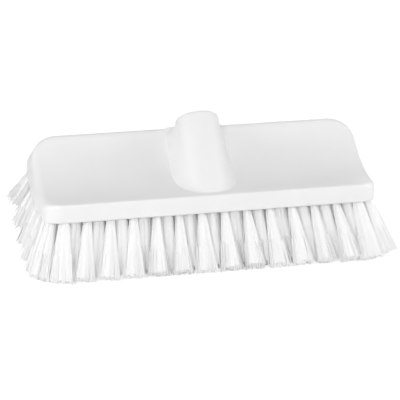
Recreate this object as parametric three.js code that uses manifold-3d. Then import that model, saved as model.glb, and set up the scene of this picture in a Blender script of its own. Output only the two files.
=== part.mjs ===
// Deck brush head for floors and skirtings: one moulded block, bent upwards at the back, with a
// handle socket lying along its raised back wall. Thirteen rows of bristle tufts fan out from the
// underside, each tuft folded over a small steel staple.
// X runs along the block, Y from the front face to the back, Z up. Millimetres and degrees.
import * as THREE from "three";
import { mergeVertices } from "three/addons/utils/BufferGeometryUtils.js";
import Module from "manifold-3d";

// Block
const blockLength = 265;
const rimHeight = 15;
const troughFloor = 13; // flat floor between the front face and the foot of the rising wall
const troughRadius = 86;
const troughSweep = 52;
const undersideFlat = 26; // flat underside between the front face and the bent part
const undersideRadius = 87;
const frontCornerRadius = 14; // seen from above
const backCornerRadius = 21; // seen square to the raised back wall
const rimTopRound = 3;
const rimBottomRound = 2.5;
const backTopRound = 6;
const backBottomRound = 4;
const endRound = 2.2;
const endTopRound = 6; // along the top of each end
const endDraft = 2.8; // by which each end stands out further under the back wall than at the top

// Handle socket
const socketRadius = 17.2; // outside, at the mouth
const socketDraft = 2.6;
const socketStandoff = 17.7; // axis above the back wall
const socketSetback = 1; // mouth plane in front of the wall's back edge
const socketLip = 2.6;
const socketFillet = 8.5;
const socketToe = 0.4; // height at which the socket's front runs out on the trough floor
const socketSink = 2; // depth by which its foot reaches into the block
const boreRadius = 12;
const boreDepth = 44;

// Tufts
const rowCount = 13;
const tuftsInRow = 15; // the first row and every other one have one less, and stand in the gaps
const firstRow = 6; // from the front face, along the underside
const lastRow = 11; // from the back edge, along the underside
const rowEndMargin = 7; // from the end of the block to the last tuft of a full row
const frontLean = -30; // of the first row, towards the front
const backLean = 46; // of the last row, towards the back
const fanLean = 11; // outwards, growing evenly from the middle of a full row to its end
const endLean = 14; // more than that, on the last tuft of a full row
const endLeanPower = 24;
const trimLength = 47.3;
const floorDrop = 58; // from the rim's top to the floor
const strandsInTuft = 2;
const tuftRootRadius = 1.2;
const tuftTipRadius = 6.5;
const strandTurn = 45; // of a tuft's strands from the line of its row, the other way in every other row
const strandRootRadius = 1.5;
const strandTipRadius = 3;
const strandRootDepth = 1.5; // reached into the backing

// Backing of the tufts, and the staples in it
const backingBorder = 3; // of the block, left round the backing
const backingDepth = 9;
const seatGap = 0.3;
const stapledRows = 3;
const stapleSpan = 5;
const stapleHeight = 4.4;
const stapleWire = 0.6;
const stapleWidth = 2;

// Facets
const curveSteps = 14; // along the whole section of the block
const backingSteps = 5; // along one band of the backing
const roundSteps = 4;
const cornerSteps = 8;
const backingCornerSteps = 4;
const archSteps = 16;
const socketSteps = 14;
const boreSides = 32;

const halfLength = blockLength / 2;
const sweep = THREE.MathUtils.degToRad(troughSweep);
const overcut = 2;

const wasm = await Module();
wasm.setup();

// A closed geometry as a solid that can be joined and cut
function solidOf(geometry) {
  const bare = new THREE.BufferGeometry();
  bare.setAttribute("position", geometry.getAttribute("position").clone());
  if (geometry.index) bare.setIndex(geometry.index.clone());
  const merged = mergeVertices(bare, 1e-4);
  const vertProperties = new Float32Array(merged.getAttribute("position").array);
  const triVerts = new Uint32Array(merged.index.array);
  return new wasm.Manifold(new wasm.Mesh({ numProp: 3, vertProperties, triVerts }));
}

// A solid back as a flat-shaded geometry
function geometryOf(solid) {
  const mesh = solid.getMesh();
  const geometry = new THREE.BufferGeometry();
  geometry.setAttribute("position", new THREE.BufferAttribute(mesh.vertProperties, 3));
  geometry.setIndex(new THREE.BufferAttribute(mesh.triVerts, 1));
  const flat = geometry.toNonIndexed();
  flat.computeVertexNormals();
  return flat;
}

// A closed skin over rings of equal count, each end capped rung by rung between its two sides
function loftOf(rings) {
  const count = rings[0].length;
  const last = (rings.length - 1) * count;
  const faces = [];
  for (let ring = 0; ring + 1 < rings.length; ring += 1) {
    for (let at = 0; at < count; at += 1) {
      const a = ring * count + at;
      const b = ring * count + ((at + 1) % count);
      faces.push(a, b, b + count, a, b + count, a + count);
    }
  }
  for (let near = 0, far = count - 1; near + 1 < far; near += 1, far -= 1) {
    faces.push(far, near + 1, near, last + near, last + near + 1, last + far);
    if (near + 1 < far - 1) {
      faces.push(far, far - 1, near + 1, last + near + 1, last + far - 1, last + far);
    }
  }
  const geometry = new THREE.BufferGeometry().setFromPoints(rings.flat());
  geometry.setIndex(faces);
  return geometry;
}

// Top of the block at a distance along it from the front face, in the Y-Z plane, or a surface below it
function topAt(along, depth = 0) {
  const turn = Math.max(0, along - troughFloor) / troughRadius;
  const reach = troughRadius + depth;
  const y = Math.min(along, troughFloor) + reach * Math.sin(turn);
  return new THREE.Vector2(y, reach * (1 - Math.cos(turn)) - depth);
}

// Slope of the underside at a distance along it from the front face
function undersideTurn(along) {
  return Math.max(0, along - undersideFlat) / undersideRadius;
}

// Underside of the block, or a surface at some depth above it
function undersideAt(along, depth = 0) {
  const turn = undersideTurn(along);
  const reach = undersideRadius - depth;
  const y = Math.min(along, undersideFlat) + reach * Math.sin(turn);
  return new THREE.Vector2(y, depth - rimHeight + reach * (1 - Math.cos(turn)));
}

const topLength = troughFloor + troughRadius * sweep;
const undersideLength = undersideFlat + undersideRadius * sweep;
const rowPitch = (undersideLength - firstRow - lastRow) / (rowCount - 1);

// How far a rounded corner draws an edge in at station x
function cornerInset(x, radius, half = halfLength) {
  const past = Math.min(radius, Math.max(0, Math.abs(x) - (half - radius)));
  return radius - Math.sqrt(radius * radius - past * past);
}

// Stations along X, close together round the corners at both ends
function stationsTo(half, steps) {
  const stations = [];
  for (let step = 0; step <= steps; step += 1) {
    const turn = (step / steps) * (Math.PI / 2);
    stations.push(half - backCornerRadius * (1 - Math.sin(turn)));
  }
  return [...stations.map((x) => -x).reverse(), ...stations];
}

// Points of a rounded corner between two edge points
function roundedCorner(before, corner, after) {
  return new THREE.QuadraticBezierCurve(before, corner, after).getPoints(roundSteps);
}

// Points along a curve between two distances, both ends left out
function alongCurve(curve, from, to, steps) {
  const points = [];
  for (let step = 1; step < steps; step += 1) {
    points.push(curve(THREE.MathUtils.lerp(from, to, step / steps)));
  }
  return points;
}

// A point on a straight edge, some way from its start
function onEdge(start, end, distance) {
  return end.clone().sub(start).setLength(distance).add(start);
}

// Outline moved inwards by an even distance
function insetOutline(outline, inset) {
  const count = outline.length;
  return outline.map((point, at) => {
    const before = outline[(at + count - 1) % count];
    const after = outline[(at + 1) % count];
    const run = after.clone().sub(before).normalize();
    return new THREE.Vector2(point.x - run.y * inset, point.y + run.x * inset);
  });
}

// Section of the block at station x, anticlockwise with Y to the right and Z up, underside first
function blockOutline(x) {
  const front = cornerInset(x, frontCornerRadius);
  const back = cornerInset(x, backCornerRadius);
  const lowered = cornerInset(x, endTopRound) - cornerInset(x, endRound);
  const top = (along) => topAt(along, lowered);
  const frontBottom = undersideAt(front);
  const frontTop = top(front);
  const backTop = top(topLength - back);
  const backBottom = undersideAt(undersideLength - back);
  const undersideStart = front + rimBottomRound;
  const undersideEnd = undersideLength - back - backBottomRound;
  const topStart = topLength - back - backTopRound;
  const topEnd = front + rimTopRound;
  const outline = [
    ...roundedCorner(onEdge(frontBottom, frontTop, rimBottomRound), frontBottom, undersideAt(undersideStart)),
    ...alongCurve((along) => undersideAt(along), undersideStart, undersideEnd, curveSteps),
    ...roundedCorner(undersideAt(undersideEnd), backBottom, onEdge(backBottom, backTop, backBottomRound)),
    ...roundedCorner(onEdge(backTop, backBottom, backTopRound), backTop, top(topStart)),
    ...alongCurve(top, topStart, topEnd, curveSteps),
    ...roundedCorner(top(topEnd), frontTop, onEdge(frontTop, frontBottom, rimTopRound)),
  ];
  return insetOutline(outline, cornerInset(x, endRound));
}

// Rings of a Y-Z outline that changes along X, its first half drawn out more and more towards the back
function ringsAlong(stations, outlineAt, draft = 0) {
  return stations.map((x) =>
    outlineAt(x).map((point, at, outline) => {
      const share = at < outline.length / 2 ? at / (outline.length / 2 - 1) : 0;
      const stretch = 1 + (draft * Math.sin((share * Math.PI) / 2)) / halfLength;
      return new THREE.Vector3(x * stretch, point.x, point.y);
    }),
  );
}

// A band of the backing between two distances along the underside, with rounded ends
function backingBand(from, to, depth, border, below, steps) {
  const half = halfLength - border;
  const outlineAt = (x) => {
    const start = Math.max(from, border + cornerInset(x, frontCornerRadius - border, half));
    const end = Math.min(to, undersideLength - border - cornerInset(x, backCornerRadius - border, half));
    const low = (along) => undersideAt(along, -below);
    const high = (along) => undersideAt(along, depth);
    return [
      low(start),
      ...alongCurve(low, start, end, steps),
      low(end),
      high(end),
      ...alongCurve(high, end, start, steps),
      high(start),
    ];
  };
  return solidOf(loftOf(ringsAlong(stationsTo(half, backingCornerSteps), outlineAt)));
}

// The socket's own frame: its mouth, its axis towards the mouth, and the way off the back wall
const socketAxis = new THREE.Vector3(0, Math.cos(sweep), Math.sin(sweep));
const socketOff = new THREE.Vector3(0, -Math.sin(sweep), Math.cos(sweep));
const wallEdge = topAt(topLength);
const socketMouth = new THREE.Vector3(0, wallEdge.x, wallEdge.y)
  .addScaledVector(socketOff, socketStandoff)
  .addScaledVector(socketAxis, -socketSetback);

// Height of the socket's axis over the trough, some way down from the mouth
function axisHeight(down) {
  const fromEdge = down + socketSetback;
  const overArc = Math.sqrt(troughRadius ** 2 - fromEdge ** 2) - (troughRadius - socketStandoff);
  const foot = socketMouth.clone().addScaledVector(socketAxis, -down).addScaledVector(socketOff, -overArc);
  if (foot.y >= troughFloor) return overArc;
  return overArc + foot.z / socketOff.z;
}

// Outside radius of the socket, with its draft and its rounded lip
function socketRadiusAt(down) {
  const short = Math.max(0, socketLip - down);
  const lip = socketLip - Math.sqrt(socketLip ** 2 - short ** 2);
  return socketRadius - lip + down * Math.tan(THREE.MathUtils.degToRad(socketDraft));
}

// How far down the socket still stands clear of the trough floor
function socketReach() {
  let near = 0;
  let far = troughRadius - socketSetback;
  while (far - near > socketToe / 100) {
    const middle = (near + far) / 2;
    const clear = socketRadiusAt(middle) + axisHeight(middle) > socketToe;
    if (clear) near = middle;
    else far = middle;
  }
  return near;
}

// Arch of the socket square to its axis: fillet, round back, fillet, and a foot in the block
function socketArch(down) {
  const radius = socketRadiusAt(down);
  const height = axisHeight(down);
  const drop = height - socketFillet;
  const side = Math.sqrt(Math.max(0, (radius + socketFillet) ** 2 - drop ** 2));
  const meet = Math.atan2(-drop, side);
  const turnEnd = Math.PI + meet;
  const fillet = [];
  for (let step = 0; step <= roundSteps; step += 1) {
    const turn = THREE.MathUtils.lerp(1.5 * Math.PI, turnEnd, step / roundSteps);
    const across = side + socketFillet * Math.cos(turn);
    fillet.push(new THREE.Vector2(across, -drop + socketFillet * Math.sin(turn)));
  }
  const back = [];
  for (let step = 1; step < archSteps; step += 1) {
    const turn = THREE.MathUtils.lerp(meet, Math.PI - meet, step / archSteps);
    back.push(new THREE.Vector2(radius * Math.cos(turn), radius * Math.sin(turn)));
  }
  const mirrored = fillet.map((point) => new THREE.Vector2(-point.x, point.y)).reverse();
  const foot = -height - socketSink;
  return [new THREE.Vector2(side, foot), ...fillet, ...back, ...mirrored, new THREE.Vector2(-side, foot)];
}

// The socket as a loft down its axis, close-set at the lip and at the toe
function socketSolid() {
  const reach = socketReach();
  const downs = [];
  for (let step = 0; step <= roundSteps; step += 1) {
    downs.push(socketLip * (1 - Math.cos((step / roundSteps) * (Math.PI / 2))));
  }
  for (let step = 1; step <= socketSteps; step += 1) {
    const share = Math.sin((step / socketSteps) * (Math.PI / 2));
    downs.push(THREE.MathUtils.lerp(socketLip, reach, share));
  }
  const rings = downs.map((down) =>
    socketArch(down).map((point) =>
      socketMouth
        .clone()
        .addScaledVector(socketAxis, -down)
        .addScaledVector(socketOff, point.y)
        .add(new THREE.Vector3(point.x, 0, 0)),
    ),
  );
  return solidOf(loftOf(rings));
}

// The bore for the handle, from just outside the mouth
function boreSolid() {
  const length = boreDepth + overcut;
  const geometry = new THREE.CylinderGeometry(boreRadius, boreRadius, length, boreSides);
  geometry.applyQuaternion(new THREE.Quaternion().setFromUnitVectors(new THREE.Vector3(0, 1, 0), socketAxis));
  const middle = socketMouth.clone().addScaledVector(socketAxis, overcut - length / 2);
  geometry.translate(middle.x, middle.y, middle.z);
  return solidOf(geometry);
}

// The block, hollowed on its underside for the backing of the tufts
function blockSolid() {
  const body = solidOf(loftOf(ringsAlong(stationsTo(halfLength, cornerSteps), blockOutline, endDraft)));
  const border = backingBorder - seatGap;
  const end = undersideLength - border;
  const recess = backingBand(border, end, backingDepth + seatGap, border, overcut, curveSteps);
  return body.add(socketSolid()).subtract(boreSolid()).subtract(recess);
}

// Where each tuft of a row is rooted, and the way it points
function tuftsOfRow(row) {
  const along = firstRow + row * rowPitch;
  const halfSpan = halfLength - rowEndMargin;
  const pitch = (2 * halfSpan) / (tuftsInRow - 1);
  const count = tuftsInRow - ((row + 1) % 2);
  const lean = THREE.MathUtils.lerp(frontLean, backLean, row / (rowCount - 1));
  const root = undersideAt(along);
  const tufts = [];
  for (let at = 0; at < count; at += 1) {
    const x = (at - (count - 1) / 2) * pitch;
    const share = Math.abs(x) / halfSpan;
    const outward = Math.sign(x) * (fanLean * share + endLean * share ** endLeanPower);
    const turn = Math.sign(x) * THREE.MathUtils.degToRad(row % 2 ? -strandTurn : strandTurn);
    const way = new THREE.Vector3(0, 0, -1);
    way.applyAxisAngle(new THREE.Vector3(1, 0, 0), THREE.MathUtils.degToRad(lean));
    const sideways = way.clone().cross(new THREE.Vector3(1, 0, 0)).normalize();
    way.applyAxisAngle(sideways, THREE.MathUtils.degToRad(outward));
    tufts.push({ root: new THREE.Vector3(x, root.x, root.y), way, turn, slope: undersideTurn(along) });
  }
  return tufts;
}

// One three-sided strand of a tuft, thicker towards its tip
function strandSolid(tuft, turn) {
  const across = new THREE.Vector3(1, 0, 0).addScaledVector(tuft.way, -tuft.way.x).normalize();
  const over = tuft.way.clone().cross(across);
  const ringAt = (down, spread, radius) => {
    const points = [];
    for (let corner = 0; corner < 3; corner += 1) {
      const angle = turn + (corner * 2 * Math.PI) / 3;
      const u = spread * Math.cos(turn) + radius * Math.cos(angle);
      const v = spread * Math.sin(turn) + radius * Math.sin(angle);
      const point = tuft.root.clone().addScaledVector(tuft.way, down);
      points.push(point.addScaledVector(across, u).addScaledVector(over, v));
    }
    return points;
  };
  const rings = [
    ringAt(-strandRootDepth, tuftRootRadius, strandRootRadius),
    ringAt(trimLength, tuftTipRadius, strandTipRadius),
  ];
  return solidOf(loftOf(rings));
}

// The floor, as a slab that trims the strands level
function floorSlab() {
  const slab = new THREE.BoxGeometry(2 * blockLength, 2 * blockLength, trimLength);
  slab.translate(0, 0, -floorDrop - trimLength / 2);
  return solidOf(slab);
}

// Places a shape made round the fold of a tuft: across along X, upwards into the block
function placeAtFold(object, tuft) {
  const upwards = new THREE.Vector3(0, -Math.sin(tuft.slope), Math.cos(tuft.slope));
  object.position.copy(tuft.root).addScaledVector(upwards, backingDepth);
  object.rotation.x = tuft.slope;
}

// The slot in the backing that a staple is driven into, open at the top
function stapleSlot(tuft) {
  const depth = stapleHeight + seatGap;
  const slot = new THREE.BoxGeometry(stapleSpan + 2 * seatGap, stapleWidth + 2 * seatGap, depth + overcut);
  slot.translate(0, 0, (overcut - depth) / 2);
  const holder = new THREE.Object3D();
  placeAtFold(holder, tuft);
  holder.updateMatrix();
  return solidOf(slot.applyMatrix4(holder.matrix));
}

// A staple of flat wire, its two legs up
function stapleGeometry() {
  const half = stapleSpan / 2;
  const inner = half - stapleWire;
  const shape = new THREE.Shape()
    .moveTo(-half, -stapleHeight)
    .lineTo(half, -stapleHeight)
    .lineTo(half, 0)
    .lineTo(inner, 0)
    .lineTo(inner, stapleWire - stapleHeight)
    .lineTo(-inner, stapleWire - stapleHeight)
    .lineTo(-inner, 0)
    .lineTo(-half, 0);
  const geometry = new THREE.ExtrudeGeometry(shape, { depth: stapleWidth, bevelEnabled: false });
  geometry.translate(0, 0, -stapleWidth / 2);
  return geometry.rotateX(Math.PI / 2);
}

// A share of the rows: their strands on a band of the backing, trimmed at the floor
function tuftSolid(rows) {
  const middleAfter = (row) => firstRow + (row + 0.5) * rowPitch;
  const first = rows[0];
  const last = rows.at(-1);
  const from = first === 0 ? 0 : middleAfter(first - 1) + seatGap / 2;
  const to = last === rowCount - 1 ? undersideLength : middleAfter(last) - seatGap / 2;
  const pieces = [backingBand(from, to, backingDepth, backingBorder, 0, backingSteps)];
  const slots = [floorSlab()];
  for (const row of rows) {
    for (const tuft of tuftsOfRow(row)) {
      for (let strand = 0; strand < strandsInTuft; strand += 1) {
        pieces.push(strandSolid(tuft, tuft.turn + (strand * 2 * Math.PI) / strandsInTuft));
      }
      if (row < stapledRows) slots.push(stapleSlot(tuft));
    }
  }
  return wasm.Manifold.union(pieces).subtract(wasm.Manifold.union(slots));
}

const blockPlastic = new THREE.MeshStandardMaterial({ color: 0xf4f4f2, roughness: 0.42, metalness: 0 });
const bristle = new THREE.MeshStandardMaterial({ color: 0xf7f7f5, roughness: 0.6, metalness: 0 });
const stapleSteel = new THREE.MeshStandardMaterial({ color: 0xb9bcc0, roughness: 0.35, metalness: 1 });

const brush = new THREE.Group();

function addPiece(name, geometry, material) {
  const mesh = new THREE.Mesh(geometry, material);
  mesh.name = name;
  brush.add(mesh);
  return mesh;
}

addPiece("block", geometryOf(blockSolid()), blockPlastic);

const tuftNames = ["front_tufts", "floor_tufts", "rear_tufts", "high_tufts"];
tuftNames.forEach((name, at) => {
  const firstOf = (band) => Math.ceil((band * rowCount) / tuftNames.length);
  const rows = Array.from({ length: firstOf(at + 1) - firstOf(at) }, (_, step) => firstOf(at) + step);
  addPiece(name, geometryOf(tuftSolid(rows)), bristle);
});

for (let row = 0; row < stapledRows; row += 1) {
  tuftsOfRow(row).forEach((tuft, at) => {
    const number = String(at + 1).padStart(2, "0");
    placeAtFold(addPiece(`staple_row${row + 1}_${number}`, stapleGeometry(), stapleSteel), tuft);
  });
}

// The floor under the middle of the brush is the origin
const box = new THREE.Box3().setFromObject(brush);
brush.position.set(0, -(box.min.y + box.max.y) / 2, floorDrop);

export default brush;
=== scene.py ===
import math
import random

import bpy
import numpy as np
from mathutils import Matrix, Vector


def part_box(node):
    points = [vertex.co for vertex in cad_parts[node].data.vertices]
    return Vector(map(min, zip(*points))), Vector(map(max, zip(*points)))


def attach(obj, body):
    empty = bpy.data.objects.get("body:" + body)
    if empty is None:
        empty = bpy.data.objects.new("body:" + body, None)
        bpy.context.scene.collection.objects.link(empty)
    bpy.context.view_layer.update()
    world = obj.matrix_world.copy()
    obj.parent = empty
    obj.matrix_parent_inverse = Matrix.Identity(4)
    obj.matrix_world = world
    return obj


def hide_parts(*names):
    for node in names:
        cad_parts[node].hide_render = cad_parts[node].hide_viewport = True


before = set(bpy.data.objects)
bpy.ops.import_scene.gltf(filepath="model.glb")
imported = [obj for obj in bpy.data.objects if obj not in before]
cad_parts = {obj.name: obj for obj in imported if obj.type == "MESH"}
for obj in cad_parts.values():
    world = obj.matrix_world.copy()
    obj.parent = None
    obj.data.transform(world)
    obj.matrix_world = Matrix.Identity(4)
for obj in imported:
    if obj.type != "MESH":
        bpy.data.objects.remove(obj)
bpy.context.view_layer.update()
print("frame loaded:", len(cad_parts), "nodes")

mm = 0.001
tolerance = 0.001  # millimetres
random.seed(11)

tuftNodes = ["front_tufts", "floor_tufts", "rear_tufts", "high_tufts"]
stapleNodes = [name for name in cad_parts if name.startswith("staple")]


def deselect():
    if bpy.context.object and bpy.context.object.mode != "OBJECT":
        bpy.ops.object.mode_set(mode="OBJECT")
    bpy.ops.object.select_all(action="DESELECT")


def pick(*objects):
    deselect()
    for item in objects:
        item.select_set(True)
    bpy.context.view_layer.objects.active = objects[0]


def joined(objects, name):
    pick(*objects)
    if len(objects) > 1:
        bpy.ops.object.join()
    bpy.context.object.name = name
    bpy.context.object.data.name = name
    return bpy.context.object


def applyModifier(item, kind, **values):
    pick(item)
    modifier = item.modifiers.new(kind.lower(), kind)
    for key, value in values.items():
        setattr(modifier, key, value)
    bpy.ops.object.modifier_apply(modifier=modifier.name)


def smooth(item, sharpFrom):
    pick(item)
    bpy.ops.object.shade_smooth_by_angle(angle=sharpFrom)


def copyOf(master):
    item = bpy.data.objects.new(master.name, master.data.copy())
    bpy.context.collection.objects.link(item)
    return item


# millimetres from the rim's top edge to metres in the frame
def inFrame(point):
    return Vector(point) * mm + rimMiddle


def turnedAndMoved(fromWay, toWay, point):
    turn = Vector(fromWay).rotation_difference(toWay).to_matrix().to_4x4()
    return Matrix.Translation(inFrame(point)) @ turn


def quarterTurn(steps):
    return [step / steps * math.pi / 2 for step in range(steps + 1)]


# open ends filled and normals outward
def closeEnds(item):
    pick(item)
    bpy.ops.object.mode_set(mode="EDIT")
    bpy.ops.mesh.select_mode(type="EDGE")
    bpy.ops.mesh.select_all(action="DESELECT")
    bpy.ops.mesh.select_non_manifold()
    bpy.ops.mesh.fill_holes(sides=0)
    bpy.ops.mesh.select_all(action="SELECT")
    bpy.ops.mesh.normals_make_consistent(inside=False)
    bpy.ops.object.mode_set(mode="OBJECT")


# a closed skin over rings of equal count, shaped from a grid
def skinOver(name, rings):
    count = len(rings[0])
    deselect()
    bpy.ops.mesh.primitive_grid_add(x_subdivisions=count, y_subdivisions=len(rings) - 1)
    item = bpy.context.object
    item.name = name
    places = [inFrame(point) for ring in rings for point in ring + ring[:1]]
    item.data.vertices.foreach_set("co", [value for place in places for value in place])
    bpy.ops.object.mode_set(mode="EDIT")
    bpy.ops.mesh.select_all(action="SELECT")
    bpy.ops.mesh.remove_doubles(threshold=tolerance * mm)
    bpy.ops.object.mode_set(mode="OBJECT")
    closeEnds(item)
    return item


# block, in millimetres from the rim's top edge at the middle of the front face
block = {
    "length": 265.0,
    "rimTop": 58.0,  # above the floor
    "rimHeight": 15.0,
    "troughFloor": 13.0,
    "troughRadius": 86.0,
    "sweep": math.radians(52.0),
    "undersideFlat": 26.0,
    "undersideRadius": 87.0,
    "frontCorner": 14.0,
    "backCorner": 21.0,
    "rimTopRound": 1.8,
    "rimBottomRound": 2.5,
    "backTopRound": 6.0,
    "backBottomRound": 4.0,
    "endRound": 2.2,
    "endTopRound": 6.0,
    "endDraft": 2.8,
    "curveSteps": 40,
    "roundSteps": 6,
    "cornerSteps": 16,
    "middleSteps": 40,
    "sharpFrom": math.radians(40.0),
}
halfLength = block["length"] / 2
topLength = block["troughFloor"] + block["troughRadius"] * block["sweep"]
undersideLength = block["undersideFlat"] + block["undersideRadius"] * block["sweep"]
rimMiddle = Vector((0.0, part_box("block")[0].y, block["rimTop"] * mm))


# top and underside of the block at a distance along them from the front face
def topAt(along, depth=0.0):
    turn = max(0.0, along - block["troughFloor"]) / block["troughRadius"]
    reach = block["troughRadius"] + depth
    y = min(along, block["troughFloor"]) + reach * math.sin(turn)
    return Vector((y, reach * (1 - math.cos(turn)) - depth))


def undersideTurn(along):
    return max(0.0, along - block["undersideFlat"]) / block["undersideRadius"]


def undersideAt(along):
    turn = undersideTurn(along)
    y = min(along, block["undersideFlat"]) + block["undersideRadius"] * math.sin(turn)
    return Vector((y, block["undersideRadius"] * (1 - math.cos(turn)) - block["rimHeight"]))


def cornerInset(x, radius):
    past = min(radius, max(0.0, abs(x) - (halfLength - radius)))
    return radius - math.sqrt(radius * radius - past * past)


# how far the top is rounded down along each end, less and less round the front corner
def endDrop(x, along):
    corner = block["frontCorner"]
    across = max(0.0, abs(x) - (halfLength - corner))
    ahead = max(0.0, corner - along)
    reach = math.hypot(across, ahead)
    if across == 0:
        return 0.0
    radius = block["endTopRound"] * across / reach
    past = min(radius, max(0.0, radius - (corner - reach)))
    return radius - math.sqrt(radius * radius - past * past)


def roundedCorner(before, corner, after):
    steps = block["roundSteps"]
    points = []
    for step in range(steps + 1):
        t = step / steps
        points.append(before * (1 - t) ** 2 + corner * (2 * t * (1 - t)) + after * t * t)
    return points


def onEdge(start, end, distance):
    return start + (end - start).normalized() * distance


def between(curve, start, end):
    steps = block["curveSteps"]
    return [curve(start + (end - start) * step / steps) for step in range(1, steps)]


# section of the block at station x, underside first, which grows longer towards the back
def blockSection(x):
    front = cornerInset(x, block["frontCorner"])
    back = cornerInset(x, block["backCorner"])
    inset = cornerInset(x, block["endRound"])

    def top(along):
        return topAt(along, max(0.0, endDrop(x, along) - inset))

    frontBottom, frontTop = undersideAt(front), top(front)
    backTop, backBottom = top(topLength - back), undersideAt(undersideLength - back)
    underStart = front + block["rimBottomRound"]
    underEnd = undersideLength - back - block["backBottomRound"]
    topStart = topLength - back - block["backTopRound"]
    topEnd = front + block["rimTopRound"]
    lowFront = onEdge(frontBottom, frontTop, block["rimBottomRound"])
    lowBack = onEdge(backBottom, backTop, block["backBottomRound"])
    highBack = onEdge(backTop, backBottom, block["backTopRound"])
    highFront = onEdge(frontTop, frontBottom, block["rimTopRound"])
    outline = roundedCorner(lowFront, frontBottom, undersideAt(underStart))
    outline += between(undersideAt, underStart, underEnd)
    outline += roundedCorner(undersideAt(underEnd), backBottom, lowBack)
    outline += roundedCorner(highBack, backTop, top(topStart))
    outline += between(top, topStart, topEnd)
    outline += roundedCorner(top(topEnd), frontTop, highFront)
    count = len(outline)
    ring = []
    for at, point in enumerate(outline):
        run = (outline[(at + 1) % count] - outline[at - 1]).normalized()
        y, z = point.x - run.y * inset, point.y + run.x * inset
        share = at / (count / 2 - 1) if at < count / 2 else 0.0
        stretch = 1 + block["endDraft"] * math.sin(share * math.pi / 2) / halfLength
        ring.append((x * stretch, y, z))
    return ring


def makeBody():
    steps = block["middleSteps"]
    straight = halfLength - block["backCorner"]
    ends = [straight + block["backCorner"] * math.sin(turn) for turn in quarterTurn(block["cornerSteps"])]
    middle = [straight * (2 * step / steps - 1) for step in range(1, steps)]
    stations = [-x for x in reversed(ends)] + middle + ends
    return skinOver("brushBlock", [blockSection(x) for x in stations])


# handle socket, in millimetres
socket = {
    "radius": 17.2,
    "draft": math.radians(2.6),
    "standoff": 17.7,
    "setback": 1.0,
    "lip": 2.6,
    "fillet": 8.5,
    "footFillet": 6.6,
    "footFilletFrom": 24.0,
    "flankFrom": 8.0,
    "toe": 0.4,
    "sink": 2.0,
    "boreRadius": 12.0,
    "boreDepth": 44.0,
    "boreOvercut": 3.0,
    "boreSides": 64,
    "rings": 30,
    "archSteps": 40,
}

# the socket's own directions: towards its mouth, and off the back wall
socketAxis = Vector((0.0, math.cos(block["sweep"]), math.sin(block["sweep"])))
socketOff = Vector((0.0, -math.sin(block["sweep"]), math.cos(block["sweep"])))
wallEdge = topAt(topLength)
socketMouth = Vector((0.0, wallEdge.x, wallEdge.y))
socketMouth += socketOff * socket["standoff"] - socketAxis * socket["setback"]


def axisHeight(down):
    fromEdge = down + socket["setback"]
    radius = block["troughRadius"]
    overArc = math.sqrt(radius**2 - fromEdge**2) - (radius - socket["standoff"])
    foot = socketMouth - socketAxis * down - socketOff * overArc
    if foot.y >= block["troughFloor"]:
        return overArc
    return overArc + foot.z / socketOff.z


def socketRadiusAt(down):
    short = max(0.0, socket["lip"] - down)
    lip = socket["lip"] - math.sqrt(socket["lip"] ** 2 - short**2)
    return socket["radius"] - lip + down * math.tan(socket["draft"])


def socketReach():
    near, far = 0.0, block["troughRadius"] - socket["setback"]
    while far - near > tolerance:
        middle = (near + far) / 2
        if socketRadiusAt(middle) + axisHeight(middle) > socket["toe"]:
            near = middle
        else:
            far = middle
    return near


# arch of the socket square to its axis: flank, round back, flank, and a foot inside the block
# a hollow fillet at the mouth grows into a straight flank further down
def socketArch(down):
    radius, height = socketRadiusAt(down), axisHeight(down)
    shrunk = min(1.0, down / socket["footFilletFrom"])
    fillet = socket["fillet"] + (socket["footFillet"] - socket["fillet"]) * shrunk
    side = math.sqrt(max(0.0, (radius + fillet) ** 2 - (height - fillet) ** 2))
    heel = Vector((side, -height))
    hollow = math.atan2(fillet - height, side)
    straight = math.atan2(-height, side) + math.acos(radius / max(radius, heel.length))
    grown = min(1.0, down / socket["flankFrom"])
    meet = hollow + (straight - hollow) * grown * grown * (3 - 2 * grown)
    touch = Vector((math.cos(meet), math.sin(meet))) * radius
    corner = heel
    if grown < 1:
        corner = Vector((touch.x + (touch.y + height) * math.tan(meet), -height))
    right = [tuple(point) for point in roundedCorner(heel, corner, touch)]
    arch = []
    for step in range(1, socket["archSteps"]):
        turn = meet + (math.pi - 2 * meet) * step / socket["archSteps"]
        arch.append((radius * math.cos(turn), radius * math.sin(turn)))
    left = [(-across, off) for across, off in reversed(right)]
    foot = -height - socket["sink"]
    flat = [(side, foot)] + right + arch + left + [(-side, foot)]
    base = socketMouth - socketAxis * down
    return [tuple(base + socketOff * off + Vector((across, 0.0, 0.0))) for across, off in flat]


def makeSocket():
    lip = socket["lip"]
    belowLip = socketReach() - lip
    downs = [lip * (1 - math.cos(turn)) for turn in quarterTurn(block["roundSteps"])]
    downs += [lip + belowLip * math.sin(turn) for turn in quarterTurn(socket["rings"])[1:]]
    return skinOver("socketForm", [socketArch(down) for down in downs])


# a round cutter from one point to another
def cutterBetween(start, end, radius, sides):
    way = end - start
    deselect()
    bpy.ops.mesh.primitive_cylinder_add(vertices=sides, radius=radius * mm, depth=way.length * mm)
    item = bpy.context.object
    item.data.transform(turnedAndMoved((0, 0, 1), way.normalized(), (start + end) / 2))
    return item


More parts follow.
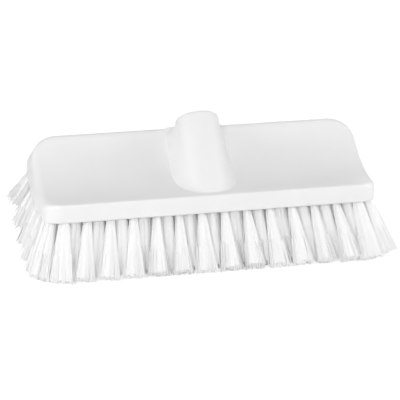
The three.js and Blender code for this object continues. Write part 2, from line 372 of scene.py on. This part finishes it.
# tufts of filament, in millimetres and degrees, or in shares of a tuft's radius and length
tufts = {
    "rows": 13,
    "inFullRow": 15,
    "firstRow": 6.0,
    "lastRow": 11.0,
    "endMargin": 7.0,
    "frontLean": -30.0,
    "backLean": 46.0,
    "fanLean": 11.0,
    "endLean": 9.0,
    "endLeanPower": 24,
    "length": 47.3,
    "holeRadius": 4.6,
    "holeDepth": 10.0,
    "holeOvercut": 4.0,
    "holeSides": 20,
    "foldDepth": 4.4,
    "tipRadius": 9.0,
    # radius in the hole, how fast the tuft widens, how far its tip spreads across and over, strays
    "shapes": {
        "frontTuft": {"root": 3.0, "power": 1.0, "spread": (0.96, 0.95), "strays": 2},
        "innerTuft": {"root": 4.4, "power": 0.3, "spread": (0.95, 1.0), "strays": 1},
        "endTuft": {"root": 4.0, "power": 0.8, "spread": (1.1, 0.95), "strays": 6},
    },
    "variants": 5,
    "locks": 7,
    "lockSides": 7,
    "lockSpread": 0.5,
    "lockSpreadVaries": (0.9, 1.1),
    "lockRadius": 0.54,
    "lockRadiusVaries": (0.9, 1.06),
    "lockShort": (1.0, 3.4),
    "lockTaper": 0.92,
    "lockTaperFrom": 0.99,
    "lockSwing": 0.25,
    "endDraw": 5.0,
    "filaments": 8,
    "filamentSides": 3,
    "filamentRadius": 0.3,
    "filamentLonger": (-2.8, 1.0),
    "filamentSwing": 0.3,
    "filamentRoot": 0.9,
    "filamentTip": (0.75, 1.02),
    "strayTip": (1.08, 1.22),
    "tips": 90,
    "tipFrom": 0.62,
    "tipThick": 1.6,
    "tipSpreadVaries": (0.92, 1.04),
    "wave": 0.3,
    "waves": (1.2, 2.4),
    "ringsAt": (0.0, 0.085, 0.2, 0.42, 0.72, 1.0),
    "trim": 0.2,
    "sharpFrom": math.radians(65.0),
}
rowPitch = (undersideLength - tufts["firstRow"] - tufts["lastRow"]) / (tufts["rows"] - 1)


# where each tuft of a row is rooted, and the way it points
def tuftsOfRow(row):
    along = tufts["firstRow"] + row * rowPitch
    halfSpan = halfLength - tufts["endMargin"]
    pitch = 2 * halfSpan / (tufts["inFullRow"] - 1)
    count = tufts["inFullRow"] - (row + 1) % 2
    leanSpan = tufts["backLean"] - tufts["frontLean"]
    lean = math.radians(tufts["frontLean"] + leanSpan * row / (tufts["rows"] - 1))
    root = undersideAt(along)
    found = []
    for at in range(count):
        x = (at - (count - 1) / 2) * pitch
        share = abs(x) / halfSpan
        outward = tufts["fanLean"] * share + tufts["endLean"] * share ** tufts["endLeanPower"]
        outward = math.radians(math.copysign(outward, x))
        down = Vector((0.0, math.sin(lean), -math.cos(lean)))
        way = down * math.cos(outward) + Vector((math.sin(outward), 0.0, 0.0))
        found.append((Vector((x, root.x, root.y)), way))
    return found


rows = [tuftsOfRow(row) for row in range(tufts["rows"])]


def makeBlock():
    body, form = makeBody(), makeSocket()
    applyModifier(body, "BOOLEAN", operation="UNION", solver="EXACT", object=form)
    bpy.data.objects.remove(form)
    boreStart = socketMouth + socketAxis * socket["boreOvercut"]
    boreEnd = socketMouth - socketAxis * socket["boreDepth"]
    cutters = [cutterBetween(boreStart, boreEnd, socket["boreRadius"], socket["boreSides"])]
    for root, way in sum(rows, []):
        start, end = root + way * tufts["holeOvercut"], root - way * tufts["holeDepth"]
        cutters.append(cutterBetween(start, end, tufts["holeRadius"], tufts["holeSides"]))
    cutter = joined(cutters, "blockCutter")
    applyModifier(body, "BOOLEAN", operation="DIFFERENCE", solver="EXACT", object=cutter)
    bpy.data.objects.remove(cutter)
    smooth(body, block["sharpFrom"])
    print("block:", len(body.data.polygons), "faces")
    return body


# a straight strand on Z, one unit long, split into rings of points
def makeStrand(name, sides, radius, rings=2):
    deselect()
    bpy.ops.mesh.primitive_cylinder_add(vertices=sides, radius=radius, depth=1.0)
    item = bpy.context.object
    item.name = name
    if rings > 2:
        bpy.ops.object.mode_set(mode="EDIT")
        bpy.ops.mesh.select_mode(type="EDGE")
        bpy.ops.mesh.select_all(action="DESELECT")
        bpy.ops.object.mode_set(mode="OBJECT")
        for edge in item.data.edges:
            one, other = [item.data.vertices[at].co.z for at in edge.vertices]
            edge.select = one * other < 0
        bpy.ops.object.mode_set(mode="EDIT")
        bpy.ops.mesh.subdivide(number_cuts=rings - 2)
        bpy.ops.object.mode_set(mode="OBJECT")
    return item


# radius of a tuft, the same inside its hole and wider from there on
def flareAt(share, shape):
    inside = tufts["ringsAt"][1]
    outside = np.maximum(0.0, share - inside) / (1 - inside)
    return shape["root"] + (tufts["tipRadius"] - shape["root"]) * outside ** shape["power"]


# how far out a strand lies, in radii of the tuft, where they fill it evenly
def evenlyOut(at, count):
    return math.sqrt((at + 0.5) / count)


# a copy of a straight strand, laid along a tuft from a share of its length on
# place: how far out it lies at the root and at the tip, in radii of the tuft, and its turn
# fat: its own radius in radii of the tuft, for locks
def laidOut(strand, shape, place, length, mostSwing, fat=None, begin=0.0):
    item = copyOf(strand)
    straight = np.array([vertex.co for vertex in strand.data.vertices])
    even = np.linspace(0, 1, len(tufts["ringsAt"]))
    share = begin + (1 - begin) * np.interp(0.5 - straight[:, 2], even, tufts["ringsAt"])
    swing = random.uniform(-mostSwing, mostSwing)
    phase, waves = random.uniform(0, 2 * math.pi), random.uniform(*tufts["waves"])
    wave = tufts["wave"] * share * np.sin(phase + waves * 2 * math.pi * share)
    flare = flareAt(share, shape)
    width = np.ones_like(share)
    if fat:
        width = flare * fat * np.where(share > tufts["lockTaperFrom"], tufts["lockTaper"], 1.0)
    atRoot, atTip, turn = place
    turns = turn + swing * share
    reach = flare * (atRoot + (atTip - atRoot) * share)
    across = reach * np.cos(turns) - wave * np.sin(turns) + straight[:, 0] * width
    over = reach * np.sin(turns) + wave * np.cos(turns) + straight[:, 1] * width
    across *= 1 + (shape["spread"][0] - 1) * share
    over *= 1 + (shape["spread"][1] - 1) * share
    down = tufts["foldDepth"] - length * share
    item.data.vertices.foreach_set("co", np.stack([across, over, down], axis=1).ravel() * mm)
    return item


# a tuft hanging down from the origin: locks, loose filaments on and around them, and the ends of more
def makeTuft(strands, name, shape):
    golden = math.pi * (3 - math.sqrt(5))
    firstTurn = random.uniform(0, 2 * math.pi)
    full = tufts["length"] + tufts["foldDepth"]
    parts = []
    for at in range(tufts["locks"]):
        out = tufts["lockSpread"] * evenlyOut(at, tufts["locks"]) * random.uniform(*tufts["lockSpreadVaries"])
        fat = tufts["lockRadius"] * random.uniform(*tufts["lockRadiusVaries"])
        length = full - random.uniform(*tufts["lockShort"])
        place = (out, out, firstTurn + at * golden)
        parts.append(laidOut(strands["lock"], shape, place, length, tufts["lockSwing"], fat))
    for at in range(tufts["filaments"] + shape["strays"]):
        out = random.uniform(*tufts["filamentTip" if at < tufts["filaments"] else "strayTip"])
        length = full + random.uniform(*tufts["filamentLonger"])
        place = (tufts["filamentRoot"], out, firstTurn + at * golden)
        parts.append(laidOut(strands["filament"], shape, place, length, tufts["filamentSwing"]))
    for at in range(tufts["tips"]):
        out = evenlyOut(at, tufts["tips"]) * random.uniform(*tufts["tipSpreadVaries"])
        length = full + random.uniform(*tufts["filamentLonger"])
        place = (out, out, firstTurn + at * golden)
        swing = tufts["filamentSwing"]
        parts.append(laidOut(strands["tip"], shape, place, length, swing, begin=tufts["tipFrom"]))
    return joined(parts, name)


def plant(tuft, root, way, spin):
    item = copyOf(tuft)
    item.data.transform(turnedAndMoved((0, 0, -1), way, root) @ Matrix.Rotation(spin, 4, "Z"))
    return item


def trimAtFloor(item):
    pick(item)
    level = (0, 0, tufts["trim"] * mm)
    bpy.ops.object.mode_set(mode="EDIT")
    bpy.ops.mesh.select_all(action="SELECT")
    bpy.ops.mesh.bisect(plane_co=level, plane_no=(0, 0, -1), use_fill=True, clear_outer=True)
    bpy.ops.object.mode_set(mode="OBJECT")


# the end tufts of a row are drawn in, and the first and last row are slimmer at the root
def makeTuftRow(row, kinds):
    kind = "innerTuft" if 0 < row < len(rows) - 1 else "frontTuft"
    planted = []
    for at, (root, way) in enumerate(rows[row]):
        if 0 < at < len(rows[row]) - 1:
            tuft = random.choice(kinds[kind])
        else:
            draw = math.radians(math.copysign(tufts["endDraw"], root.x))
            way = Matrix.Rotation(draw, 3, "Y") @ way
            tuft = random.choice(kinds["endTuft"])
        planted.append(plant(tuft, root, way, random.choice([0, math.pi])))
    item = joined(planted, f"tuftRow{row + 1}")
    trimAtFloor(item)
    smooth(item, tufts["sharpFrom"])
    return item


def makeBristles():
    sides, radius, rings = tufts["filamentSides"], tufts["filamentRadius"], len(tufts["ringsAt"])
    strands = {
        "lock": makeStrand("lock", tufts["lockSides"], 1.0, rings),
        "filament": makeStrand("filament", sides, radius, rings),
        "tip": makeStrand("tip", sides, radius * tufts["tipThick"]),
    }
    kinds = {}
    for name, shape in tufts["shapes"].items():
        kinds[name] = [makeTuft(strands, f"{name}{at}", shape) for at in range(tufts["variants"])]
    made = [makeTuftRow(row, kinds) for row in range(len(rows))]
    for item in sum(kinds.values(), list(strands.values())):
        bpy.data.objects.remove(item)
    print("bristles:", sum(len(item.data.polygons) for item in made), "faces")
    return made


# staples that hold the tufts: the frame has those of its first rows, these are the rest
staple = {
    "fromRow": 3,
    "span": 5.0,
    "height": 4.4,
    "wire": 0.6,
    "width": 2.0,
    "above": 9.0,
}


def makeStaple():
    half, wire, height = staple["span"] / 2, staple["wire"], staple["height"]
    bars = [
        ((0, 0, wire / 2 - height), (staple["span"], staple["width"], wire)),
        ((wire / 2 - half, 0, -height / 2), (wire, staple["width"], height)),
        ((half - wire / 2, 0, -height / 2), (wire, staple["width"], height)),
    ]
    parts = []
    for place, size in bars:
        deselect()
        bpy.ops.mesh.primitive_cube_add(size=mm, location=Vector(place) * mm, scale=size)
        bpy.ops.object.transform_apply(location=True, rotation=False, scale=True)
        parts.append(bpy.context.object)
    return joined(parts, "staple")


def makeStaples():
    master = makeStaple()
    made = []
    for row in range(staple["fromRow"], tufts["rows"]):
        slope = undersideTurn(tufts["firstRow"] + row * rowPitch)
        upwards = Vector((0.0, -math.sin(slope), math.cos(slope)))
        driven = []
        for root, _ in rows[row]:
            item = copyOf(master)
            place = Matrix.Translation(inFrame(root + upwards * staple["above"]))
            item.data.transform(place @ Matrix.Rotation(slope, 4, "X"))
            driven.append(item)
        made.append(joined(driven, f"stapleRow{row + 1}"))
    bpy.data.objects.remove(master)
    print("staples:", sum(len(row) for row in rows[staple["fromRow"]:]), "more")
    return made


# screw thread in the socket's bore
thread = {
    "pitch": 5.0,
    "turns": 6,
    "height": 1.5,
    "foot": 3.2,
    "crest": 1.2,
    "steps": 36,
    "below": 6.0,
    "seat": 0.4,
}


def makeThread():
    deselect()
    bpy.ops.mesh.primitive_plane_add(size=1.0)
    item = bpy.context.object
    item.name = "socketThread"
    outer, inner = socket["boreRadius"] + thread["seat"], socket["boreRadius"] - thread["height"]
    foot, crest = thread["foot"] / 2, thread["crest"] / 2
    corners = [(outer, 0, -foot), (inner, 0, -crest), (outer, 0, foot), (inner, 0, crest)]
    item.data.vertices.foreach_set("co", [value * mm for corner in corners for value in corner])
    applyModifier(
        item, "SCREW", axis="Z", angle=2 * math.pi, screw_offset=thread["pitch"] * mm,
        iterations=thread["turns"], steps=thread["steps"], render_steps=thread["steps"],
    )
    closeEnds(item)
    start = socketMouth - socketAxis * (thread["below"] + thread["pitch"] * thread["turns"])
    item.data.transform(turnedAndMoved((0, 0, 1), socketAxis, start))
    smooth(item, block["sharpFrom"])
    print("thread:", len(item.data.polygons), "faces")
    return item


# finishes: two colours and a span of roughness, mixed by a noise of this scale and detail
finishes = {
    "blockWhite": {
        "light": (0.9, 0.9, 0.9, 1),
        "deep": (0.88, 0.88, 0.88, 1),
        "rough": (0.34, 0.46),
        "noise": (28.0, 3),
        "grainNoise": (2400.0, 2),
        "grainStrength": 0.12,
        "grainDepth": 0.1 * mm,
        "glowShare": 0.2,
        "glowColour": (1, 0.95, 0.9),
        "glowDepth": 2.0 * mm,
    },
    "bristleWhite": {
        "light": (0.965, 0.965, 0.965, 1),
        "deep": (0.935, 0.935, 0.935, 1),
        "rough": (0.4, 0.55),
        "noise": (700.0, 2),
    },
    "stapleSteel": {
        "light": (0.68, 0.68, 0.69, 1),
        "deep": (0.5, 0.5, 0.52, 1),
        "rough": (0.25, 0.4),
        "noise": (1500.0, 3),
    },
}
mixFrom, mixTo = 0.3, 0.7  # of the noise


def noiseOn(material, scale, detail):
    nodes, links = material.node_tree.nodes, material.node_tree.links
    place = nodes.new("ShaderNodeTexCoord")
    noise = nodes.new("ShaderNodeTexNoise")
    noise.inputs["Scale"].default_value = scale
    noise.inputs["Detail"].default_value = detail
    links.new(place.outputs["Object"], noise.inputs["Vector"])
    return noise.outputs["Fac"]


def mottled(name):
    finish = finishes[name]
    material = bpy.data.materials.new(name)
    material.use_nodes = True
    nodes, links = material.node_tree.nodes, material.node_tree.links
    shader = nodes["Principled BSDF"]
    amount = noiseOn(material, *finish["noise"])
    ramp = nodes.new("ShaderNodeValToRGB")
    low, high = ramp.color_ramp.elements
    low.position, low.color = mixFrom, finish["deep"]
    high.position, high.color = mixTo, finish["light"]
    links.new(amount, ramp.inputs["Fac"])
    links.new(ramp.outputs["Color"], shader.inputs["Base Color"])
    spread = nodes.new("ShaderNodeMapRange")
    spread.inputs["To Min"].default_value, spread.inputs["To Max"].default_value = finish["rough"]
    links.new(amount, spread.inputs["Value"])
    links.new(spread.outputs["Result"], shader.inputs["Roughness"])
    return material, shader


def makeBlockWhite():
    finish = finishes["blockWhite"]
    material, shader = mottled("blockWhite")
    nodes, links = material.node_tree.nodes, material.node_tree.links
    bump = nodes.new("ShaderNodeBump")
    bump.inputs["Strength"].default_value = finish["grainStrength"]
    bump.inputs["Distance"].default_value = finish["grainDepth"]
    links.new(noiseOn(material, *finish["grainNoise"]), bump.inputs["Height"])
    links.new(bump.outputs["Normal"], shader.inputs["Normal"])
    shader.inputs["Subsurface Weight"].default_value = finish["glowShare"]
    shader.inputs["Subsurface Radius"].default_value = finish["glowColour"]
    shader.inputs["Subsurface Scale"].default_value = finish["glowDepth"]
    return material


def makeBristleWhite():
    return mottled("bristleWhite")[0]


def makeStapleSteel():
    material, shader = mottled("stapleSteel")
    shader.inputs["Metallic"].default_value = 1.0
    return material


def dress(item, material):
    item.data.materials.clear()
    item.data.materials.append(material)


blockPiece = makeBlock()
bristlePieces = makeBristles()
staplePieces = makeStaples()
threadPiece = makeThread()

blockWhite, bristleWhite, stapleSteel = makeBlockWhite(), makeBristleWhite(), makeStapleSteel()
print("finishes:", len(finishes))

# the first row of each of the frame's groups of tufts takes the place of that group
bandStarts = [math.ceil(band * tufts["rows"] / len(tuftNodes)) for band in range(len(tuftNodes))]
dress(blockPiece, blockWhite)
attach(blockPiece, "root")
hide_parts("block")
for at, item in enumerate(bristlePieces):
    dress(item, bristleWhite)
    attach(item, "root")
    if at in bandStarts:
        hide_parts(tuftNodes[bandStarts.index(at)])
dress(threadPiece, blockWhite)
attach(threadPiece, "root")
for item in staplePieces:
    dress(item, stapleSteel)
    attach(item, "root")
for name in stapleNodes:
    dress(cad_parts[name], stapleSteel)

# floor and light
studio = {
    "floorSize": 12.0,
    "floorColour": (0.94, 0.94, 0.94, 1),
    "floorLift": 0.6,  # added where the camera sees the floor, so that it is white and keeps a shadow
    "skyColour": (1, 1, 1, 1),
    "zenith": 0.45,
    "horizon": 0.08,
    "aimHeight": 0.06,
    "softboxes": {  # turn from the front, rise, power, width, distance
        "frontLight": (-15.0, 18.0, 10.0, 0.5, 1.6),
        "leftLight": (-90.0, 15.0, 4.0, 0.9, 1.6),
        "rightLight": (78.0, 17.0, 4.3, 0.9, 1.6),
        "backLight": (172.0, 8.0, 3.5, 0.9, 1.6),
        "leftNearLight": (-65.0, 30.0, 0.38, 0.3, 0.5),
        "rightNearLight": (65.0, 30.0, 0.42, 0.3, 0.5),
    },
}


# 1 for what the camera sees, straight or by a mirror or glass, and 0 for light on the object
def seenOrMirrored(nodes, links):
    path = nodes.new("ShaderNodeLightPath")
    seen = path.outputs["Is Camera Ray"]
    for ray in ["Is Glossy Ray", "Is Transmission Ray"]:
        either = nodes.new("ShaderNodeMath")
        either.operation = "MAXIMUM"
        links.new(seen, either.inputs[0])
        links.new(path.outputs[ray], either.inputs[1])
        seen = either.outputs[0]
    return seen


def makeFloor():
    deselect()
    bpy.ops.mesh.primitive_plane_add(size=studio["floorSize"])
    floor = bpy.context.object
    floor.name = "studioFloor"
    material = bpy.data.materials.new("floorWhite")
    material.use_nodes = True
    nodes, links = material.node_tree.nodes, material.node_tree.links
    nodes.clear()
    output = nodes.new("ShaderNodeOutputMaterial")
    mixed = nodes.new("ShaderNodeAddShader")
    surface = nodes.new("ShaderNodeBsdfDiffuse")
    surface.inputs["Color"].default_value = studio["floorColour"]
    glow = nodes.new("ShaderNodeEmission")
    lift = nodes.new("ShaderNodeMath")
    lift.operation = "MULTIPLY"
    lift.inputs[1].default_value = studio["floorLift"]
    links.new(seenOrMirrored(nodes, links), lift.inputs[0])
    links.new(lift.outputs[0], glow.inputs["Strength"])
    links.new(surface.outputs[0], mixed.inputs[0])
    links.new(glow.outputs[0], mixed.inputs[1])
    links.new(mixed.outputs[0], output.inputs["Surface"])
    floor.data.materials.append(material)


def makeWorld():
    world = bpy.data.worlds.new("studio")
    bpy.context.scene.world = world
    world.use_nodes = True
    nodes, links = world.node_tree.nodes, world.node_tree.links
    sky = nodes["Background"]
    sky.inputs["Color"].default_value = studio["skyColour"]
    place = nodes.new("ShaderNodeTexCoord")
    split = nodes.new("ShaderNodeSeparateXYZ")
    links.new(place.outputs["Generated"], split.inputs[0])
    fade = nodes.new("ShaderNodeMapRange")  # brighter overhead than round the horizon
    fade.inputs["To Min"].default_value = studio["horizon"]
    fade.inputs["To Max"].default_value = studio["zenith"]
    links.new(split.outputs["Z"], fade.inputs["Value"])
    strength = nodes.new("ShaderNodeMapRange")
    strength.inputs["To Max"].default_value = 1.0
    links.new(fade.outputs["Result"], strength.inputs["To Min"])
    links.new(seenOrMirrored(nodes, links), strength.inputs["Value"])
    links.new(strength.outputs["Result"], sky.inputs["Strength"])


def softbox(name, turn, rise, power, width, reach):
    turn, rise = math.radians(turn), math.radians(rise)
    aim = Vector((0, 0, studio["aimHeight"]))
    way = Vector((math.sin(turn) * math.cos(rise), -math.cos(turn) * math.cos(rise), math.sin(rise)))
    deselect()
    bpy.ops.object.light_add(type="AREA", location=aim + way * reach)
    lamp = bpy.context.object
    lamp.name = name
    lamp.data.size = width
    lamp.data.energy = power
    lamp.rotation_euler = (-way).to_track_quat("-Z", "Y").to_euler()


makeFloor()
makeWorld()
for name, values in studio["softboxes"].items():
    softbox(name, *values)
print("studio:", len(studio["softboxes"]), "softboxes")

# camera at the photograph's angle
view = {
    "azimuth": math.radians(12.47),
    "elevation": math.radians(18.93),
    "distance": 1.6,
    "focal": 2074.6,  # in pixels of the photograph
    "image": 400.0,
    "sensor": 36.0,
    "right": 0.0115,  # of the rim's middle from the middle of the picture
    "up": 0.0037,
}
sideways, rise = view["azimuth"], view["elevation"]
right = Vector((math.cos(sideways), -math.sin(sideways), 0.0))
forward = Vector((math.sin(sideways) * math.cos(rise), math.cos(sideways) * math.cos(rise), -math.sin(rise)))
upward = right.cross(forward)
aim = rimMiddle - right * view["right"] - upward * view["up"]
stand = aim - forward * view["distance"]
bpy.ops.object.camera_add(location=stand, rotation=(math.pi / 2 - rise, 0, -sideways))
camera = bpy.context.object
camera.data.sensor_width = view["sensor"]
camera.data.lens = view["sensor"] * view["focal"] / view["image"]
bpy.context.scene.camera = camera
bpy.context.scene.view_settings.view_transform = "Standard"
